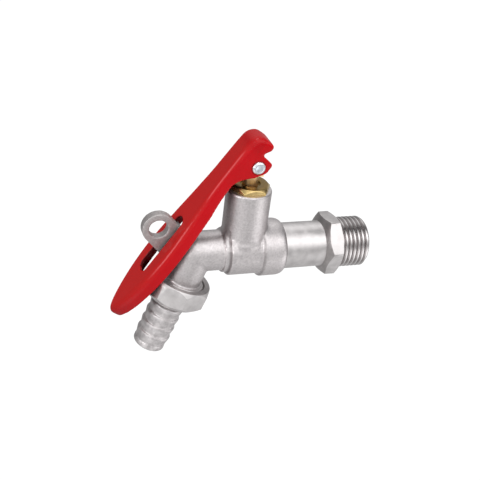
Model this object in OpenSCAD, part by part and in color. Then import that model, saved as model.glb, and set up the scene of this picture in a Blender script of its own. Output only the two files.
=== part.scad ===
// Lockable ball bibcock: quarter-turn tap with a lift-up lever that a padlock holds down
// Origin: centre of the inlet hexagon's shoulder face
// +X leaves along the inlet thread and +Z is up along the stem

/* [Fits] */
// Radial running clearance of turning and sliding fits
run = 0.05; // [0.02:0.01:0.1]
// Gap left between a piece and the stop that it rests on
rest_gap = 0.3; // [0.1:0.05:0.5]
// Small break of turned corners
edge = 0.3; // [0.1:0.05:0.4]

/* [Waterway] */
// Diameter of the waterway through the ball and the body
bore_d = 10; // [8:0.1:10.4]
// Diameter of the waterway in the inlet connector
inlet_bore_d = 12.4; // [11:0.1:14]
// Diameter of the waterway in the spout
spout_bore_d = 11.4; // [10.4:0.1:12.4]

/* [Inlet connector] */
// Major diameter of the inlet thread
inlet_thread_d = 20.955; // [20:0.005:22]
// Length of the inlet thread
inlet_thread_len = 12.6; // [9:0.1:18]
// Lead-in chamfer at the end of the inlet thread
thread_lead = 1.1; // [0.5:0.1:1.5]
// Depth of the thread grooves, which sets the run-outs and the tail's flange
thread_depth = 1.16; // [0.8:0.02:1.3]
// Width across flats of the inlet hexagon
hex_af = 23; // [22:0.1:26]
// Thickness of the inlet hexagon
hex_t = 6.8; // [5:0.1:10]
// Length of the turned corner on the body side of the hexagon
hex_turned = 2; // [1:0.1:3]
// Turn of the hexagon about the inlet axis
hex_turn = 22.5; // [0:0.5:60]
// Outside diameter of the connector pipe
pipe_d = 18.9; // [18.2:0.1:20]
// Distance from the stem axis to the hexagon's shoulder face
reach = 40.2; // [34:0.1:60]

/* [Valve body] */
// Outside diameter of the barrel round the ball
barrel_d = 20.9; // [20.2:0.1:22]
// Distance from the stem axis to the spout end of the barrel
barrel_back = 7.1; // [6.9:0.1:8]
// Diameter of the stepped ring behind the barrel
ring_d = 18.2; // [17.5:0.1:19.5]
// Length of the stepped ring
ring_len = 2.1; // [1:0.1:3]
// Diameter of the collar that holds the connector
collar_d = 23.4; // [22.5:0.1:24.5]
// Distance from the stem axis to the step up to the collar
collar_start = 5.6; // [3:0.1:7]
// Distance from the stem axis to the end of the collar
collar_end = 16.2; // [15:0.1:19]
// Length of the rounded end of the collar
collar_round = 3.3; // [2:0.1:5]
// Length of the slope up to the collar
collar_step = 0.8; // [0.4:0.1:1.5]

/* [Neck] */
// Outside diameter of the neck
neck_d = 18; // [17:0.1:18.6]
// Height of the neck's top above the inlet axis
neck_top = 27.6; // [25:0.1:32]
// Edge round at the top of the neck
neck_edge = 0.6; // [0.3:0.1:1]
// Radius of the flare where the neck runs into the barrel
neck_flare = 5; // [2:0.5:6]
// Turn of the flare from the vertical
neck_flare_turn = 35; // [20:1:40]
// Height at which the flare ends, inside the barrel
neck_foot = 6; // [5:0.1:7]

/* [Ball and seats] */
// Diameter of the ball
ball_d = 16; // [15.6:0.1:16.2]
// Radial room round the ball in its chamber
ball_room = 0.45; // [0.3:0.05:0.6]
// Distance from the ball's centre to the back face of each seat
seat_face = 7; // [6.6:0.1:7.2]
// Width of each seat ring along the pipe
seat_w = 2.8; // [2.4:0.1:3.2]
// Play between ball and seats
seat_play = 0.03; // [0.02:0.01:0.05]
// Length of the connector's plain spigot in the chamber
spigot_len = 4; // [3.6:0.1:4.6]
// Diameter of the sealing ring's cord, squeezed as fitted
seal_cord = 1.26; // [1:0.02:1.4]
// Distance from the spigot's end to the sealing ring's groove
seal_in = 1; // [0.8:0.1:1.4]
// Height of the thread that holds the connector, over the spigot
joint_thread_h = 0.65; // [0.5:0.05:0.8]

/* [Stem and gland] */
// Diameter of the stem
stem_d = 6; // [5.6:0.1:6.4]
// Thickness of the blade that turns the ball
blade_t = 3; // [2.5:0.1:3.4]
// Depth to which the blade enters the ball
blade_in = 2.1; // [1.6:0.1:2.2]
// Height of the stem's round part above the ball
blade_out = 0.6; // [0.4:0.1:1]
// Height of the shoulder in the neck that carries the stem
stem_seat_z = 11.2; // [10.8:0.1:13]
// Diameter of the packing chamber in the neck
packing_d = 10.2; // [9.6:0.1:11]
// Thickness of the thrust washer
thrust_t = 0.8; // [0.5:0.1:1.2]
// Thickness of the stem's flange
flange_t = 1.8; // [1.2:0.1:2.5]
// Height of each packing ring
packing_h = 2.4; // [1.8:0.1:2.6]
// Height of the gland follower
follower_h = 1.6; // [1:0.1:2.2]
// Thread diameter of the gland nut
gland_thread_d = 12; // [11.6:0.1:13]
// Width across flats of the gland nut
gland_af = 14.7; // [14.2:0.1:15.4]
// Height of the gland nut's hexagon
gland_h = 3.6; // [2.8:0.1:4.4]
// Height of the turned cone on top of the gland nut
gland_cone = 2.1; // [1:0.1:2.4]
// Width of the recess round the stem in the gland nut's top
recess_w = 1.3; // [0.8:0.1:1.6]
// Depth of that recess
recess_deep = 0.9; // [0.4:0.1:1.4]

/* [Lever pivot] */
// Height of the pivot above the inlet axis
pivot_z = 38.6; // [37:0.1:44]
// Offset of the pivot from the stem axis, away from the spout
pivot_x = 0.6; // [0:0.1:1]
// Diameter of the rivet's shank
rivet_d = 4; // [3:0.1:4.4]
// Diameter of the rivet's heads
rivet_head_d = 5.5; // [5:0.1:6.5]
// Height of the rivet's heads
rivet_head_h = 1.1; // [0.6:0.1:1.6]
// Width of the stem's head along the pipe
stem_head_w = 6.2; // [5.8:0.1:6.6]
// Height of the stem's head below the pivot
stem_head_drop = 4.6; // [3:0.1:5]

/* [Lever] */
// Thickness of the lever's sheet
sheet = 1.5; // [1.2:0.1:1.8]
// Angle of the lever below the horizontal
droop = 55.9; // [54:0.1:57]
// Distance from the pivot to the outer face of the web
web_h = 9.3; // [8.8:0.1:10.5]
// Length from the pivot to the head end
head_len = 10.2; // [9.4:0.1:11]
// Round of the web into the head's end wall
head_round = 5; // [3:0.1:6]
// Outside width of the lever's head
head_w = 10.9; // [10.4:0.1:12]
// Length of the straight-sided part past the pivot
straight_len = 8; // [5:0.5:12]
// Greatest outside width of the lever
grip_w = 20; // [18:0.1:24]
// Distance from the pivot to the widest place
grip_at = 50; // [44:0.5:56]
// Distance from the pivot to the tip
tip_len = 83; // [76:0.5:96]
// Round of the web into the tip
tip_round = 3; // [2:0.1:4]
// Outside radius of the bend between web and cheeks
bend_r = 2.3; // [1.8:0.1:2.6]
// Depth of the cheeks along the grip
cheek_h = 6.1; // [5.4:0.1:6.4]
// Depth of the cheeks at the waist next to the pivot
waist_h = 5.4; // [4.5:0.1:6]
// Distance of the waist from the pivot
waist_at = 13.5; // [12:0.5:16]
// Length of the beak beside the pivot
beak_len = 4.7; // [4.2:0.1:5.4]
// Distance from the beak's point back to the pivot, along the lever
beak_back = 3.3; // [3:0.1:3.6]
// Length of the nose past the pivot's level
nose_len = -0.4; // [-1:0.1:0.6]
// Depth of the notch between beak and nose, from the pivot's level
notch_in = 1.5; // [0.5:0.1:2.2]
// Distance from the notch back to the pivot, along the lever
notch_back = 5.1; // [4.6:0.1:5.4]
// Width of the slot that the padlock ear passes through
slot_w = 6; // [5:0.1:8]
// Length of the slot
slot_len = 27.2; // [22:0.1:32]
// Distance from the pivot to the near end of the slot
slot_at = 33.6; // [32:0.1:35.4]

/* [Padlock ear] */
// Thickness of the ear
ear_t = 3.8; // [3:0.1:4.5]
// Width of the ear
ear_w = 12.8; // [11:0.1:14]
// Diameter of the eye for the padlock's shackle
eye_d = 7.4; // [6:0.1:8]
// Distance of the eye's centre from the stem axis
eye_x = 35.2; // [33:0.1:37]
// Height of the eye's centre above the inlet axis
eye_z = 12.2; // [11:0.1:14]
// Lean of the ear from the vertical, towards the spout
ear_lean = 41; // [36:0.5:46]
// Length of the ear from the eye's centre to its root in the spout
ear_len = 17; // [15:0.5:18]
// Width of the shoulder that the lever comes down on
ear_rest_w = 9; // [8:0.1:12]
// Distance from the near end of the lever's slot to the shoulder
ear_rest_in = 3.5; // [2:0.1:4]
// Depth of the shoulder below the lever's web
ear_rest_deep = 7; // [6:0.1:8]

/* [Spout and outlet] */
// Outside diameter of the spout
spout_d = 16.4; // [15.6:0.1:17.4]
// Distance from the stem axis to the spout's bend
spout_reach = 19.9; // [18:0.1:24]
// Tilt of the outlet from straight down
outlet_tilt = 20.3; // [15:0.1:25]
// Distance from the bend to the start of the outlet thread
outlet_leg = 12.6; // [12:0.1:18]
// Major diameter of the outlet thread
outlet_thread_d = 20.955; // [20:0.005:22]
// Length of the outlet thread
outlet_thread_len = 5.4; // [4.5:0.1:9]
// Chamfer at both ends of the outlet thread
outlet_lead = 0.8; // [0.5:0.1:1]

/* [Union nut] */
// Length by which the nut covers the start of the outlet thread
nut_over = 0.3; // [0:0.1:1]
// Width across the nut's eight flats
nut_af = 25.6; // [25.2:0.1:26]
// Height of the turned corners at the top of the nut
nut_turned = 1.8; // [0.8:0.1:2.4]
// Height of the turned corners at the bottom of the nut
nut_foot = 2.6; // [1.6:0.1:3]
// Slope of the nut's bottom corners, inwards from the flats
nut_foot_in = 1.6; // [1:0.1:2]
// Thickness of the nut's lip
lip_t = 1.3; // [1:0.1:2.5]
// Turn of the nut about the outlet axis
nut_turn = 1; // [0:1:45]

/* [Hose tail] */
// Thickness of the tail's flange
tail_flange_t = 1.4; // [1:0.1:2]
// Thickness of the sealing washer
washer_t = 1.2; // [0.8:0.1:2]
// Radial height of the tail's boss, which fills the nut's lip, over the barbs
boss_over = 0.5; // [0.4:0.1:0.8]
// Diameter over the barbs
barb_d = 14.2; // [13.4:0.1:14.6]
// Length of the cylindrical crest of each barb
barb_land = 0.65; // [0.4:0.05:1]
// Diameter of the tail at the root of the barbs
barb_root_d = 12.8; // [11.4:0.1:13.2]
// Diameter of the hose tail's waterway
tail_bore_d = 9.2; // [8:0.1:10]
// Number of barbs
barbs = 4; // [3:1:6]
// Distance from one barb to the next
barb_pitch = 4.7; // [3.5:0.1:5.5]
// Length of the plain neck above the barbs
tail_neck = 3.2; // [1:0.1:5]
// Length of the plain end below the barbs
tail_end = 2.4; // [1.5:0.1:4]

/* [Hidden] */
$fn = 64;
// Overlap of solids that are joined, and run of a cut past a face
over = 1;

nickel = [0.74, 0.72, 0.72];
brass = [0.80, 0.62, 0.28];
zinc = [0.78, 0.79, 0.81];
enamel = [0.78, 0.09, 0.11];
white_seal = [0.93, 0.93, 0.91];
black_seal = [0.10, 0.10, 0.10];

// Chamber round the ball, open to the collar, with the connector's spigot in it
chamber_d = ball_d + 2 * ball_room;
seat_d = chamber_d - 2 * run;
spigot_end = seat_face + spigot_len;
groove_d = seat_d - 2 * (seal_cord + run);
joint_thread_d = seat_d + 2 * joint_thread_h;
body_back = barrel_back + ring_len;
bore_step = seat_face + spigot_len + 2;

// Stack in the neck, from the shoulder up
packing_ring_d = packing_d - 2 * run;
stem_hole_d = stem_d + 2 * run;
flange_z = stem_seat_z + thrust_t + run;
packing_z = flange_z + flange_t + run;
follower_z = packing_z + 2 * packing_h;
gland_z = follower_z + follower_h;
gland_top = neck_top + gland_h;
ball_top = ball_d / 2;

// Lever frame: x runs from the pivot to the tip, z points from the web into the channel
head_half = head_w / 2;
stem_head_t = head_w - 2 * sheet - 2 * run;
stem_head_r = stem_head_w / 2;
cheek_edge = cheek_h - web_h;
waist_edge = waist_h - web_h;
channel_low = 7;
bend_steps = 4;

// Outlet frame: z runs down the outlet from the bend
outlet_end = outlet_leg + outlet_thread_len;
nut_top = outlet_leg - nut_over;
flange_top = outlet_end + washer_t;
lip_top = flange_top + tail_flange_t + run;
nut_bottom = lip_top + lip_t;
tail_neck_end = nut_bottom + tail_neck;
tail_bottom = tail_neck_end + barbs * barb_pitch + tail_end;
tail_flange_d = outlet_thread_d - 2 * thread_depth;
boss_d = barb_d + 2 * boss_over;

// Points of an arc, centre c, radius r, from angle a to angle b
function arc(c, r, a, b, n = 8) =
    [for (i = [0 : n]) c + r * [cos(a + (b - a) * i / n), sin(a + (b - a) * i / n)]];
// Points of a quadratic curve from p to q that bends towards c
function bow(p, c, q, n = 6) =
    [for (i = [0 : n]) let (t = i / n) (1 - t) * (1 - t) * p + 2 * t * (1 - t) * c + t * t * q];
// Ease between 0 and 1
function ease(t) = let (u = max(0, min(1, t))) u * u * (3 - 2 * u);

module at_stem() { translate([-reach, 0, 0]) children(); }
module at_outlet() { at_stem() translate([-spout_reach, 0, 0]) rotate([0, 180 + outlet_tilt, 0]) children(); }
module at_pivot() { at_stem() translate([pivot_x, 0, pivot_z]) children(); }
module at_lever() { at_pivot() rotate([0, 180 - droop, 0]) children(); }
// Profile of [radius, distance], turned about the inlet axis or about z
module turned_x(profile) { rotate([0, 90, 0]) rotate_extrude() polygon(profile); }
module turned_z(profile) { rotate_extrude() polygon(profile); }
module tube(d, from, to) { translate([0, 0, from]) cylinder(d = d, h = to - from); }
module tube_x(d, from, to) { translate([from, 0, 0]) rotate([0, 90, 0]) cylinder(d = d, h = to - from); }
// Bar of diameter d that lies across the tap
module cross_bar(d, length) { rotate([90, 0, 0]) cylinder(d = d, h = length, center = true); }
// Flat shape in the plane of the tap, t thick across it
module plate(t) { rotate([90, 0, 0]) linear_extrude(height = t, center = true) children(); }

module ring(outer, inner, from, h) {
    difference() {
        tube(outer, from, from + h);
        tube(inner, from - over, from + h + over);
    }
}

// Nut form with the given number of flats, its corners turned by a profile of [radius, height]
module turned_nut(af, flats, h, profile) {
    intersection() {
        cylinder(d = af / cos(180 / flats), h = h, $fn = flats);
        turned_z(profile);
    }
}

// Barrel round the ball, with the ring behind it and the collar in front, its end an oval round
module barrel_form() {
    ring_r = ring_d / 2;
    barrel_r = barrel_d / 2;
    collar_r = collar_d / 2;
    mouth_r = pipe_d / 2 + edge / 2;
    turned_x(concat(
        [[0, -body_back], [ring_r - edge, -body_back], [ring_r, edge - body_back], [ring_r, -barrel_back]],
        [[barrel_r - 2 * edge, -barrel_back], [barrel_r, 2 * edge - barrel_back]],
        [[barrel_r, collar_start], [collar_r, collar_start + collar_step]],
        [for (a = [0 : 11.25 : 90])
            [mouth_r + (collar_r - mouth_r) * pow(cos(a), 0.8), collar_end - collar_round * (1 - sin(a))]],
        [[0, collar_end]]));
}

module neck_form() {
    r = neck_d / 2;
    flare_z = neck_foot + neck_flare * sin(neck_flare_turn);
    turned_z(concat(
        [[0, 0], [r, 0], [r + neck_flare * (1 - cos(neck_flare_turn)), neck_foot]],
        arc([r + neck_flare, flare_z], neck_flare, 180 + neck_flare_turn, 180, 6),
        arc([r - neck_edge, neck_top - neck_edge], neck_edge, 0, 90, 3),
        [[0, neck_top]]));
}

// Ear for the padlock, with the shoulder that the lever's web comes down on
module ear_form() {
    r = ear_w / 2;
    rest_z = sheet - web_h + rest_gap;
    rest_x = slot_at + ear_rest_in;
    at_stem() plate(ear_t) translate([-eye_x, eye_z]) rotate(ear_lean)
        polygon(concat(arc([0, 0], r, 0, 180, 24), [[-r, -ear_len], [r, -ear_len]]));
    at_lever() plate(ear_rest_w)
        polygon([[rest_x, rest_z], [rest_x + ear_w, rest_z],
                 [rest_x + ear_w - 1, rest_z + ear_rest_deep], [rest_x + 3, rest_z + ear_rest_deep]]);
}

module outlet_form() {
    thread_r = outlet_thread_d / 2;
    tube(spout_d, 0, outlet_leg + over);
    turned_z([[0, outlet_leg], [thread_r - thread_depth, outlet_leg], [thread_r, outlet_leg + outlet_lead],
              [thread_r, outlet_end - outlet_lead], [thread_r - outlet_lead, outlet_end], [0, outlet_end]]);
}

module valve_body() color(nickel) difference() {
    union() {
        at_stem() {
            barrel_form();
            neck_form();
            tube_x(spout_d, -spout_reach, over - body_back);
            // A little larger than the pipes, so that it meets them at an edge
            translate([-spout_reach, 0, 0]) sphere(d = spout_d + 0.2);
        }
        at_outlet() outlet_form();
        ear_form();
    }
    at_stem() {
        tube_x(chamber_d, -seat_face, spigot_end + edge);
        tube_x(joint_thread_d + 2 * run, spigot_end + edge, collar_end + over);
        tube_x(spout_bore_d, -spout_reach, over - body_back);
        tube_x(bore_d, -body_back, 0);
        translate([-spout_reach, 0, 0]) sphere(d = spout_bore_d + 0.2);
        tube(stem_hole_d, 0, neck_top + over);
        tube(packing_d, stem_seat_z, neck_top + over);
        tube(gland_thread_d + 2 * run, gland_z - edge, neck_top + over);
        translate([-eye_x, 0, eye_z]) cross_bar(eye_d, ear_t + 2 * over);
    }
    at_outlet() tube(spout_bore_d, 0, outlet_end + over);
}

module inlet_connector() color(nickel) difference() {
    thread_r = inlet_thread_d / 2;
    corner_r = hex_af / 2 / cos(30) + edge;
    spigot_r = seat_d / 2;
    joint_r = joint_thread_d / 2;
    cone_start = bore_step - (inlet_bore_d - bore_d);
    union() {
        at_stem() turned_x([
            [0, seat_face], [spigot_r, seat_face], [spigot_r, spigot_end + 2 * edge],
            [joint_r, spigot_end + over], [joint_r, collar_end],
            [pipe_d / 2, collar_end], [pipe_d / 2, reach - hex_t], [0, reach - hex_t]]);
        translate([-hex_t, 0, 0]) rotate([0, 90, 0]) rotate([0, 0, hex_turn])
            turned_nut(hex_af, 6, hex_t, [
                [0, 0], [hex_af / 2 - 2 * edge, 0], [corner_r, hex_turned],
                [corner_r, hex_t - edge], [corner_r - 2 * edge, hex_t], [0, hex_t]]);
        turned_x([[0, -over], [thread_r, -over], [thread_r, inlet_thread_len - thread_lead],
                  [thread_r - thread_lead, inlet_thread_len], [0, inlet_thread_len]]);
    }
    at_stem() {
        tube_x(bore_d, seat_face - over, bore_step);
        // Cone between the two bores
        turned_x([[0, cone_start], [bore_d / 2, cone_start], [inlet_bore_d / 2, bore_step], [0, bore_step]]);
        tube_x(inlet_bore_d, bore_step - edge, reach + inlet_thread_len + over);
        // Groove of the sealing ring
        difference() {
            tube_x(seat_d + over, seat_face + seal_in, seat_face + seal_in + seal_cord + 2 * run);
            tube_x(groove_d, seat_face, spigot_end);
        }
    }
}

module body_seal() color(black_seal) at_stem()
    translate([seat_face + seal_in + run + seal_cord / 2, 0, 0]) rotate([0, 90, 0]) rotate_extrude()
        translate([groove_d / 2 + run + seal_cord / 2, 0]) circle(d = seal_cord, $fn = 32);

module ball() color(zinc) at_stem() difference() {
    sphere(d = ball_d);
    // The tap is closed: the waterway lies across the pipe
    cross_bar(bore_d, ball_d + over);
    translate([-ball_d, -blade_t / 2 - run, ball_top - blade_in - run])
        cube([2 * ball_d, blade_t + 2 * run, ball_d]);
}

module seat() color(white_seal) difference() {
    tube_x(seat_d, seat_face - seat_w, seat_face);
    tube_x(bore_d, 0, seat_face + over);
    sphere(d = ball_d + 2 * seat_play);
}
module inlet_seat() at_stem() seat();
module outlet_seat() at_stem() mirror([1, 0, 0]) seat();

module stem() color(brass) at_stem() difference() {
    union() {
        // Blade in the ball's slot
        intersection() {
            translate([-ball_d, -blade_t / 2, ball_top - blade_in])
                cube([2 * ball_d, blade_t, blade_in + blade_out + over]);
            cylinder(d = stem_d - edge, h = neck_top);
        }
        tube(stem_d, ball_top + blade_out, flange_z + over);
        tube(packing_ring_d, flange_z, flange_z + flange_t);
        tube(stem_d, flange_z, pivot_z - stem_head_drop + over);
        // Head that the lever straddles
        translate([pivot_x, 0, pivot_z]) plate(stem_head_t) {
            circle(r = stem_head_r);
            translate([-stem_head_r, -stem_head_drop]) square([stem_head_w, stem_head_drop]);
        }
    }
    translate([pivot_x, 0, pivot_z]) cross_bar(rivet_d + 2 * run, head_w);
}

module thrust_washer() color(white_seal) at_stem() ring(packing_ring_d, stem_hole_d, stem_seat_z, thrust_t);
module packing(z) { color(white_seal) at_stem() ring(packing_ring_d, stem_hole_d, z, packing_h); }
module packing_lower() packing(packing_z);
module packing_upper() packing(packing_z + packing_h);
module gland_follower() color(brass) at_stem() ring(packing_ring_d, stem_hole_d, follower_z, follower_h);

module gland_nut() color(brass) at_stem() difference() {
    corner_r = gland_af / 2 / cos(30) + edge;
    union() {
        tube(gland_thread_d, gland_z, neck_top + over);
        translate([0, 0, neck_top]) turned_nut(gland_af, 6, gland_h, [
            [0, 0], [corner_r, 0], [corner_r, gland_h - gland_cone],
            [gland_af / 2 - gland_cone, gland_h], [0, gland_h]]);
    }
    tube(stem_hole_d, gland_z - over, gland_top + over);
    tube(stem_d + 2 * recess_w, gland_top - recess_deep, gland_top + over);
}

// Half width of the lever at distance s from the pivot, drawn in by inset
function half_width(s, inset) =
    let (tip = tip_len - inset, grip = grip_w / 2 - inset, head = head_half - inset)
    s < grip_at ? head + (grip - head) * ease((s - straight_len) / (grip_at - straight_len))
                : grip * pow(max(0.0001, 1 - pow((s - grip_at) / (tip - grip_at), 2)), 0.68);
// Drop of a round of radius r at distance d inside its tangent point
function round_drop(r, d) = r - sqrt(max(0, r * r - d * d));
// Height of the web's face at distance s, with both ends rounded over
function web_face(s, inset) =
    let (tip = tip_len - inset, head = inset - head_len,
         head_r = max(0.5, head_round - inset), tip_r = max(0.5, tip_round - inset))
    inset - web_h + (s < head + head_r ? round_drop(head_r, head + head_r - s)
                   : s > tip - tip_r ? round_drop(tip_r, s - tip + tip_r) : 0);
// Cross-section at distance s: cheek, bend, web, bend, cheek, down to the height low
function section(s, inset, low) =
    let (h = half_width(s, inset), f = web_face(s, inset), r = min(max(0.4, bend_r - inset), h * 0.9),
         bend = [for (i = [0 : bend_steps]) let (a = i * 90 / bend_steps)
             [h - r + r * cos(a), f + r - r * sin(a)]])
    concat([[s, -h, low]], [for (p = bend) [s, -p[0], p[1]]],
           [for (i = [bend_steps : -1 : 0]) [s, bend[i][0], bend[i][1]]], [[s, h, low]]);
// Distances of the cross-sections, close together where the ends are rounded
function stations(inset) =
    let (head = inset - head_len, head_r = max(0.5, head_round - inset), tip = tip_len - inset)
    concat([for (a = [0 : 18 : 90]) head + head_r * (1 - cos(a))], [straight_len],
           [for (i = [1 : 12]) straight_len + (grip_at - straight_len) * i / 12],
           [for (i = [1 : 14]) grip_at + (tip - grip_at) * sin(i * 90 / 14.35)]);

// Solid of the pressed shape, lofted through its cross-sections
// The hollow side is the same form, inset by the sheet's thickness
module pressing(inset, low) {
    cuts = stations(inset);
    n = len(section(0, inset, low));
    last = len(cuts) - 1;
    polyhedron(
        points = [for (s = cuts) each section(s, inset, low)],
        faces = concat([[for (j = [0 : n - 1]) j]], [[for (j = [n - 1 : -1 : 0]) last * n + j]],
            [for (i = [0 : last - 1]) for (j = [0 : n - 1]) let (k = (j + 1) % n) each
                [[i * n + j, (i + 1) * n + j, i * n + k], [i * n + k, (i + 1) * n + j, (i + 1) * n + k]]]));
}

// Side outline of the lever, with waist, beak, notch and nose
module lever_side() {
    beak = [-beak_back, beak_len];
    notch = [-notch_back, -notch_in];
    nose_top = -1.6;
    polygon(concat(
        [[-head_len - over, -web_h - over], [tip_len + over, -web_h - over], [tip_len + over, cheek_edge]],
        bow([waist_at + 12, cheek_edge], [waist_at + 6, waist_edge], [waist_at, waist_edge]),
        bow([waist_at - 1, waist_edge], [8.5, waist_edge], [4.2, 1.8]),
        bow([2.4, 2.9], [1.2, 4.6], beak + [1.2, -0.2]),
        [beak, beak + [-0.7, -0.6], notch + [0.4, 0.5], notch, notch + [-0.5, 0.2]],
        bow([-head_len + 2.3, nose_len - 0.1], [-head_len, nose_len + 0.3], [-head_len, nose_top]),
        [[-head_len - over, nose_top]]));
}

// Slot for the padlock ear, with round ends
module slot_cut() {
    near = slot_at + slot_w / 2;
    far = slot_at + slot_len - slot_w / 2;
    translate([0, 0, -web_h - over]) {
        for (x = [near, far]) translate([x, 0, 0]) cylinder(d = slot_w, h = sheet + 2 * over);
        translate([near, -slot_w / 2, 0]) cube([far - near, slot_w, sheet + 2 * over]);
    }
}

module lever() color(enamel) at_lever() difference() {
    intersection() {
        pressing(0, channel_low);
        plate(grip_w + 2 * over) lever_side();
    }
    pressing(sheet, channel_low + over);
    slot_cut();
    cross_bar(rivet_d + 2 * run, head_w + 2 * over);
}

// Domed rivet head, its sides upright at the foot
module rivet_head() {
    r = rivet_head_d / 2;
    foot = rivet_head_h * 0.3;
    turned_z(concat([[0, 0], [r, 0], [r, foot]],
        [for (a = [15 : 15 : 75]) [r * cos(a), foot + (rivet_head_h - foot) * sin(a)]], [[0, rivet_head_h]]));
}
module pivot_rivet() color(zinc) at_pivot() rotate([90, 0, 0]) {
    cylinder(d = rivet_d, h = head_w, center = true);
    for (side = [0, 1]) mirror([0, 0, side]) translate([0, 0, head_half]) rivet_head();
}

module union_nut() color(nickel) at_outlet() difference() {
    h = nut_bottom - nut_top;
    flat_r = nut_af / 2;
    corner_r = flat_r / cos(22.5);
    translate([0, 0, nut_top]) rotate([0, 0, nut_turn]) turned_nut(nut_af, 8, h, [
        [0, 0], [flat_r - edge / 2, 0], [corner_r, nut_turned],
        [corner_r, h - nut_foot], [flat_r - nut_foot_in, h], [0, h]]);
    tube(outlet_thread_d + 2 * run, nut_top - over, lip_top);
    tube(boss_d + 2 * run, lip_top - over, nut_bottom + over);
}

module tail_washer() color(black_seal) at_outlet() ring(tail_flange_d, spout_bore_d, outlet_end, washer_t);

module hose_tail() color(nickel) at_outlet() difference() {
    boss_r = boss_d / 2;
    flange_r = tail_flange_d / 2;
    root_r = barb_root_d / 2;
    tip_r = barb_d / 2;
    chamfer = 0.25;
    turned_z(concat(
        [[0, flange_top], [flange_r, flange_top], [flange_r, flange_top + tail_flange_t]],
        [[boss_r, flange_top + tail_flange_t], [boss_r, nut_bottom - edge], [root_r - edge, nut_bottom + edge]],
        [[root_r - edge, tail_neck_end - edge]],
        [for (i = [0 : barbs - 1]) let (z = tail_neck_end + i * barb_pitch) each
            [[tip_r - chamfer, z], [tip_r, z + chamfer], [tip_r, z + chamfer + barb_land],
             [root_r, z + barb_pitch - edge]]],
        [[root_r + chamfer, tail_bottom - tail_end + edge], [root_r + chamfer, tail_bottom - 3 * chamfer],
         [root_r - 2 * chamfer, tail_bottom], [0, tail_bottom]]));
    tube(tail_bore_d, flange_top - over, tail_bottom + over);
}

valve_body();
inlet_connector();
body_seal();
ball();
inlet_seat();
outlet_seat();
stem();
thrust_washer();
packing_lower();
packing_upper();
gland_follower();
gland_nut();
lever();
pivot_rivet();
union_nut();
tail_washer();
hose_tail();
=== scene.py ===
import bpy
import math
from mathutils import Matrix, Vector


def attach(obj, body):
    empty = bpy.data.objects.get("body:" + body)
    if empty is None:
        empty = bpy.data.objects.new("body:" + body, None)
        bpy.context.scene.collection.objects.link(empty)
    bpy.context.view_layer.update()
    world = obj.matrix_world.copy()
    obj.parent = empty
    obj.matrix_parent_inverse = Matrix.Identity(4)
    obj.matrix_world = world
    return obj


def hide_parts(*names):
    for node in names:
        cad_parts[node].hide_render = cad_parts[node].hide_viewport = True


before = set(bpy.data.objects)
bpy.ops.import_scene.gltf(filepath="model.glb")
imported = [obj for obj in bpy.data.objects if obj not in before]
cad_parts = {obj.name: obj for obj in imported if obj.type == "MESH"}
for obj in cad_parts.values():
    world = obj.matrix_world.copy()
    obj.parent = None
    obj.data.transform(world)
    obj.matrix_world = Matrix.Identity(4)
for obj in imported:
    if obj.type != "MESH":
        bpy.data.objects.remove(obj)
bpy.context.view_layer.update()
mm = 0.001
print("frame loaded with", len(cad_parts), "nodes")

stemX = -40.2 * mm  # stem axis, in the part's frame
bendX = -60.1 * mm  # bend of the spout
outletTurn = math.radians(180 + 20.3)  # the outlet leans 20.3 degrees from straight down
inletTurn = math.radians(90)  # the inlet points along x
mergeGap = 0.002 * mm  # points nearer than this become one
slack = 0.1 * mm  # how near counts as being at a place
flatTurn = math.radians(0.6)  # faces that meet flatter than this are one face
smoothTurn = math.radians(32)  # edges flatter than this are shaded smooth
sharpTurn = math.radians(40)  # edges sharper than this are rounded
edgeSteps = 3  # faces across a rounded edge
roundSteps = 96  # faces round a turned form
smoothFactor = 0.5  # how far a point goes to the middle of its neighbours in a round


# Selecting and finishing

def pick(piece):
    if bpy.context.object and bpy.context.object.mode != "OBJECT":
        bpy.ops.object.mode_set(mode="OBJECT")
    bpy.ops.object.select_all(action="DESELECT")
    piece.select_set(True)
    bpy.context.view_layer.objects.active = piece


def finishWith(piece, kind, **settings):
    pick(piece)
    step = piece.modifiers.new(kind.lower(), kind)
    for name, value in settings.items():
        setattr(step, name, value)
    bpy.ops.object.modifier_apply(modifier=step.name)


def editAll(piece):
    pick(piece)
    bpy.ops.object.mode_set(mode="EDIT")
    bpy.ops.mesh.select_mode(type="VERT")
    bpy.ops.mesh.select_all(action="SELECT")


def mergePoints(piece):
    editAll(piece)
    bpy.ops.mesh.remove_doubles(threshold=mergeGap)
    bpy.ops.object.mode_set(mode="OBJECT")


def joinFlatFaces(piece):
    editAll(piece)
    bpy.ops.mesh.dissolve_limited(angle_limit=flatTurn)
    bpy.ops.object.mode_set(mode="OBJECT")


def copyOfNode(node, name):
    piece = bpy.data.objects.new(name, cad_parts[node].data.copy())
    bpy.context.scene.collection.objects.link(piece)
    pick(piece)
    bpy.ops.mesh.customdata_custom_splitnormals_clear()
    mergePoints(piece)
    return piece


def selectPoints(piece, test):
    # leaves edit mode on, with only the points that pass the test selected
    editAll(piece)
    bpy.ops.mesh.select_all(action="DESELECT")
    bpy.ops.object.mode_set(mode="OBJECT")
    for point in piece.data.vertices:
        point.select = test(point.co)
    bpy.ops.object.mode_set(mode="EDIT")


def selectEdges(piece, test):
    # leaves edit mode on, with only the edges that pass the test selected
    editAll(piece)
    bpy.ops.mesh.select_mode(type="EDGE")
    bpy.ops.mesh.select_all(action="DESELECT")
    bpy.ops.object.mode_set(mode="OBJECT")
    points = piece.data.vertices
    for edge in piece.data.edges:
        edge.select = test(*[points[index].co for index in edge.vertices])
    bpy.ops.object.mode_set(mode="EDIT")


def smoothShade(piece):
    pick(piece)
    bpy.ops.object.shade_smooth_by_angle(angle=smoothTurn)


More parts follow.
